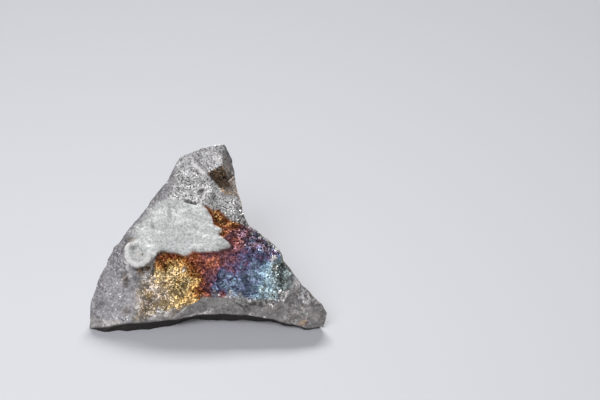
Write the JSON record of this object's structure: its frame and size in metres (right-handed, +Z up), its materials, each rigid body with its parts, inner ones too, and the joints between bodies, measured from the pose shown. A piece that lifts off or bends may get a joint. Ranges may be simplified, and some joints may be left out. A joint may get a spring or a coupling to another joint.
{
  "type": "ferromolybdenum lump",
  "caption": "Broken wedge-shaped lump of silvery grey alloy with a pale casting skin, a burst gas bubble and an oil-slick heat tarnish across its sloping front.",
  "frame": {"origin": "under the middle of the bounding box, on the ground the lump stands on", "axes": "+X along the longest side, towards the low tail; the tarnished slope faces -Y; +Z up"},
  "size_m": [0.0484, 0.0364, 0.0243],
  "materials": {
    "ferromolybdenum": "broken metal, satin grey, with gold, purple and blue heat tarnish"
  },
  "bodies": {
    "root": {"ferromolybdenum_lump": "ferromolybdenum"}
  },
  "joints": []
}
